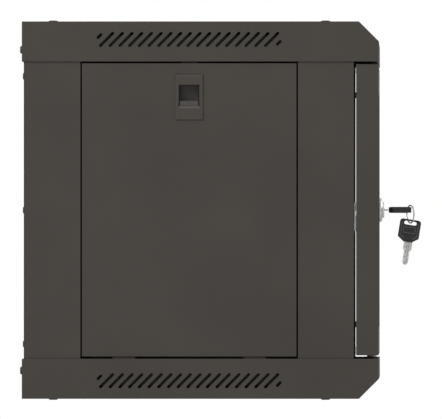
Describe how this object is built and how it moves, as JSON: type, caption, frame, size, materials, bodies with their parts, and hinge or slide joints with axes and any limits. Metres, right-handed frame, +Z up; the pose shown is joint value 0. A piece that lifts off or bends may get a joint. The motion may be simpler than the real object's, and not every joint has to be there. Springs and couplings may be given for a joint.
{
  "type": "wall mount network cabinet",
  "caption": "Wall-mounted steel cabinet for 19-inch network equipment, with a locking glass door, lift-off side panels and vented top and bottom.",
  "frame": {"origin": "middle of the four wall-fixing holes, on the back face of the rear panel", "axes": "+X across the cabinet to the hinge side, +Y towards the wall, +Z up; the glass door faces -Y"},
  "size_m": [0.55, 0.3934, 0.3722],
  "materials": {
    "painted_steel": "fine-grained semi-matt dark grey powder coat",
    "rail_paint": "semi-matt dark grey powder coat",
    "black_screws": "black-finished screw heads",
    "zinc_steel": "bright zinc plate",
    "chrome": "polished chrome and nickel plate",
    "key_plastic": "fine-textured black moulding",
    "latch_plastic": "fine-textured dark grey moulding",
    "rubber": "matt black rubber",
    "nylon": "natural white nylon",
    "glass": "clear toughened glass"
  },
  "bodies": {
    "cabinet": {"top_panel": "painted_steel", "bottom_panel": "painted_steel", "top_panel_screws": "black_screws", "bottom_panel_screws": "black_screws", "rear_flange_screws": "black_screws", "rear_panel": "painted_steel", "rear_panel_screws": "black_screws", "side_frame_left": "painted_steel", "side_frame_right": "painted_steel", "front_rail_top": "painted_steel", "front_rail_bottom": "painted_steel", "front_rail_screws": "black_screws", "depth_rail_left_top": "rail_paint", "depth_rail_left_bottom": "rail_paint", "depth_rail_right_top": "rail_paint", "depth_rail_right_bottom": "rail_paint", "depth_rail_nuts": "zinc_steel", "lock_striker": "zinc_steel", "striker_rivets": "zinc_steel", "frame_buffers": "rubber", "bottom_hinge_pin": "zinc_steel", "bottom_hinge_washer": "nylon"},
    "door": {"door_frame": "painted_steel", "door_glass": "glass", "glass_seal": "rubber", "glass_clamps": "zinc_steel", "clamp_nuts": "zinc_steel", "door_buffers": "rubber", "hinge_pin_bracket": "zinc_steel", "lock_housing": "chrome", "lock_nut": "chrome"},
    "lock_core": {"lock_plug": "chrome", "lock_cam": "zinc_steel", "cam_screw": "zinc_steel"},
    "key": {"key_blade": "chrome", "key_head": "key_plastic"},
    "ring": {"key_ring": "chrome"},
    "spare_key": {"spare_key_blade": "chrome", "spare_key_head": "key_plastic"},
    "hinge_pin": {"top_hinge_pin": "zinc_steel", "hinge_pin_spring": "zinc_steel"},
    "left_panel": {"side_panel_left": "painted_steel", "latch_housing_left": "latch_plastic"},
    "right_panel": {"side_panel_right": "painted_steel", "latch_housing_right": "latch_plastic"},
    "left_latch": {"latch_slider_left": "latch_plastic"},
    "right_latch": {"latch_slider_right": "latch_plastic"},
    "left_rack_rail": {"rack_rail_left": "rail_paint", "rack_rail_bolts_left": "zinc_steel", "rack_rail_nuts_left": "zinc_steel"},
    "right_rack_rail": {"rack_rail_right": "rail_paint", "rack_rail_bolts_right": "zinc_steel", "rack_rail_nuts_right": "zinc_steel"}
  },
  "joints": [
    {"name": "door_swing", "type": "hinge", "parent": "cabinet", "child": "door", "pos_m": [0.2655, -0.3398, 0], "axis": [0, 0, 1], "range_deg": [0, 180]},
    {"name": "lock_turn", "type": "hinge", "parent": "door", "child": "lock_core", "pos_m": [-0.246, -0.34, 0.0003], "axis": [0, 1, 0], "range_deg": [0, 90]},
    {"name": "key_pull", "type": "slide", "parent": "lock_core", "child": "key", "axis": [0, -1, 0], "range_m": [0, 0.03]},
    {"name": "ring_turn", "type": "hinge", "parent": "key", "child": "ring", "pos_m": [-0.249, -0.3791, -0.00386], "axis": [0.3907, -0.9205, 0], "range_deg": [-15, 15]},
    {"name": "spare_key_swing", "type": "hinge", "parent": "ring", "child": "spare_key", "pos_m": [-0.249, -0.3791, -0.01261], "axis": [1, 0, 0], "range_deg": [-12, 12]},
    {"name": "hinge_pin_slide", "type": "slide", "parent": "door", "child": "hinge_pin", "axis": [0, 0, -1], "range_m": [0, 0.008], "stiffness_N_per_m": 300, "springref_m": -0.004, "deforming": ["hinge_pin_spring"]},
    {"name": "left_panel_tilt", "type": "hinge", "parent": "cabinet", "child": "left_panel", "pos_m": [-0.2719, -0.16215, -0.147], "axis": [0, -1, 0], "range_deg": [0, 30]},
    {"name": "right_panel_tilt", "type": "hinge", "parent": "cabinet", "child": "right_panel", "pos_m": [0.2719, -0.16215, -0.147], "axis": [0, 1, 0], "range_deg": [0, 30]},
    {"name": "left_latch_slide", "type": "slide", "parent": "left_panel", "child": "left_latch", "axis": [0, 0, 1], "range_m": [0, 0.005]},
    {"name": "right_latch_slide", "type": "slide", "parent": "right_panel", "child": "right_latch", "axis": [0, 0, 1], "range_m": [0, 0.005]},
    {"name": "left_rail_slide", "type": "slide", "parent": "cabinet", "child": "left_rack_rail", "axis": [0, 1, 0], "range_m": [0, 0.15]},
    {"name": "right_rail_slide", "type": "slide", "parent": "cabinet", "child": "right_rack_rail", "axis": [0, 1, 0], "range_m": [0, 0.15]}
  ]
}
